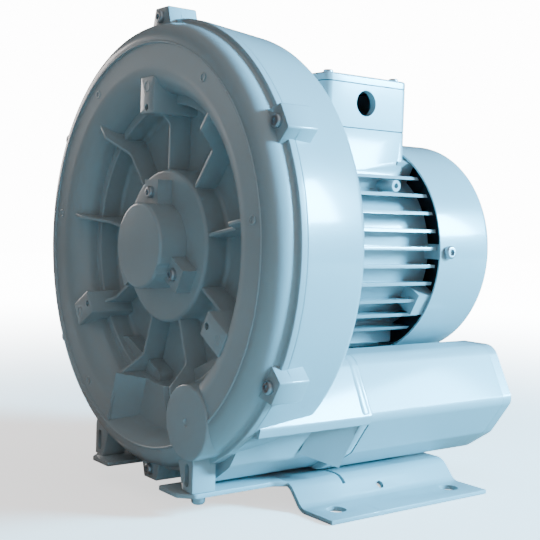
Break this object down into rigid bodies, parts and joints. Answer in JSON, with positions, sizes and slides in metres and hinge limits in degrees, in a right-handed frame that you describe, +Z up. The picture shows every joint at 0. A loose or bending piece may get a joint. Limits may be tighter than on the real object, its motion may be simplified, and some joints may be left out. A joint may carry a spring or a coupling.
{
  "type": "side channel blower",
  "caption": "Single-stage side channel blower with flange motor, two rear silencers with threaded ports, terminal box and bent sheet foot.",
  "frame": {"origin": "centre of the four foot holes, at floor level", "axes": "+Z up, front cover towards -Y, motor and silencers towards +Y, shaft along Y, terminal box on top with its cable entry towards +X"},
  "size_m": [0.334, 0.2895, 0.365],
  "materials": {
    "paint": "satin light blue-grey paint on cast aluminium",
    "foot_paint": "satin light blue-grey paint on pressed sheet steel",
    "cast": "bare cast aluminium",
    "zinc": "zinc-plated steel",
    "steel": "ground bare steel",
    "copper": "enamelled copper wire, tied and varnished",
    "laminate": "stacked steel laminations",
    "seal": "black rubber",
    "gasket": "dark grey flat gasket",
    "foam": "dark grey open-cell foam",
    "fan": "black glass-filled plastic",
    "board": "brown moulded insulating board",
    "studs": "plain brass"
  },
  "bodies": {
    "stator": {"cover": "paint", "casing": "paint", "duct_right": "paint", "duct_left": "paint", "bearing_cap": "paint", "motor_housing": "paint", "rear_end_shield": "paint", "fan_cowl": "foot_paint", "foot_bracket": "foot_paint", "silencer_right": "paint", "silencer_left": "paint", "port_flange_right": "paint", "port_flange_left": "paint", "terminal_box": "paint", "terminal_lid": "paint", "silencer_foam_right": "foam", "silencer_foam_left": "foam", "channel_seal": "seal", "front_shaft_seal": "seal", "rear_shaft_seal": "seal", "lid_gasket": "gasket", "box_gasket": "gasket", "front_bearing_outer_race": "steel", "rear_bearing_outer_race": "steel", "bearing_spring": "steel", "stator_core": "laminate", "windings": "copper", "terminal_board": "board", "terminal_studs": "studs", "terminal_nuts": "studs", "cover_screws": "zinc", "cap_screws": "zinc", "motor_screws": "zinc", "tie_screws": "zinc", "cowl_screws": "zinc", "lid_screws": "zinc", "box_screws": "zinc", "silencer_bolts": "zinc", "front_foot_screws": "zinc", "rear_foot_screws": "zinc"},
    "rotor": {"shaft": "steel", "rotor_core": "laminate", "impeller": "cast", "impeller_key": "steel", "spacer_sleeve": "steel", "shaft_end_washer": "zinc", "shaft_end_screw": "zinc", "front_bearing_inner_race": "steel", "rear_bearing_inner_race": "steel", "cooling_fan": "fan", "fan_clip": "steel"},
    "front_balls": {"front_bearing_balls": "steel"},
    "rear_balls": {"rear_bearing_balls": "steel"}
  },
  "joints": [
    {"name": "rotor_spin", "type": "hinge", "parent": "stator", "child": "rotor", "pos_m": [0, -0.0795, 0.189], "axis": [0, 1, 0], "continuous": true},
    {"name": "front_balls_roll", "type": "hinge", "parent": "stator", "child": "front_balls", "pos_m": [0, -0.1345, 0.189], "axis": [0, 1, 0], "continuous": true},
    {"name": "rear_balls_roll", "type": "hinge", "parent": "stator", "child": "rear_balls", "pos_m": [0, 0.058, 0.189], "axis": [0, 1, 0], "continuous": true}
  ],
  "couplings": [
    {"joint": "front_balls_roll", "follows": "rotor_spin", "ratio": 0.3969},
    {"joint": "rear_balls_roll", "follows": "rotor_spin", "ratio": 0.3969}
  ]
}
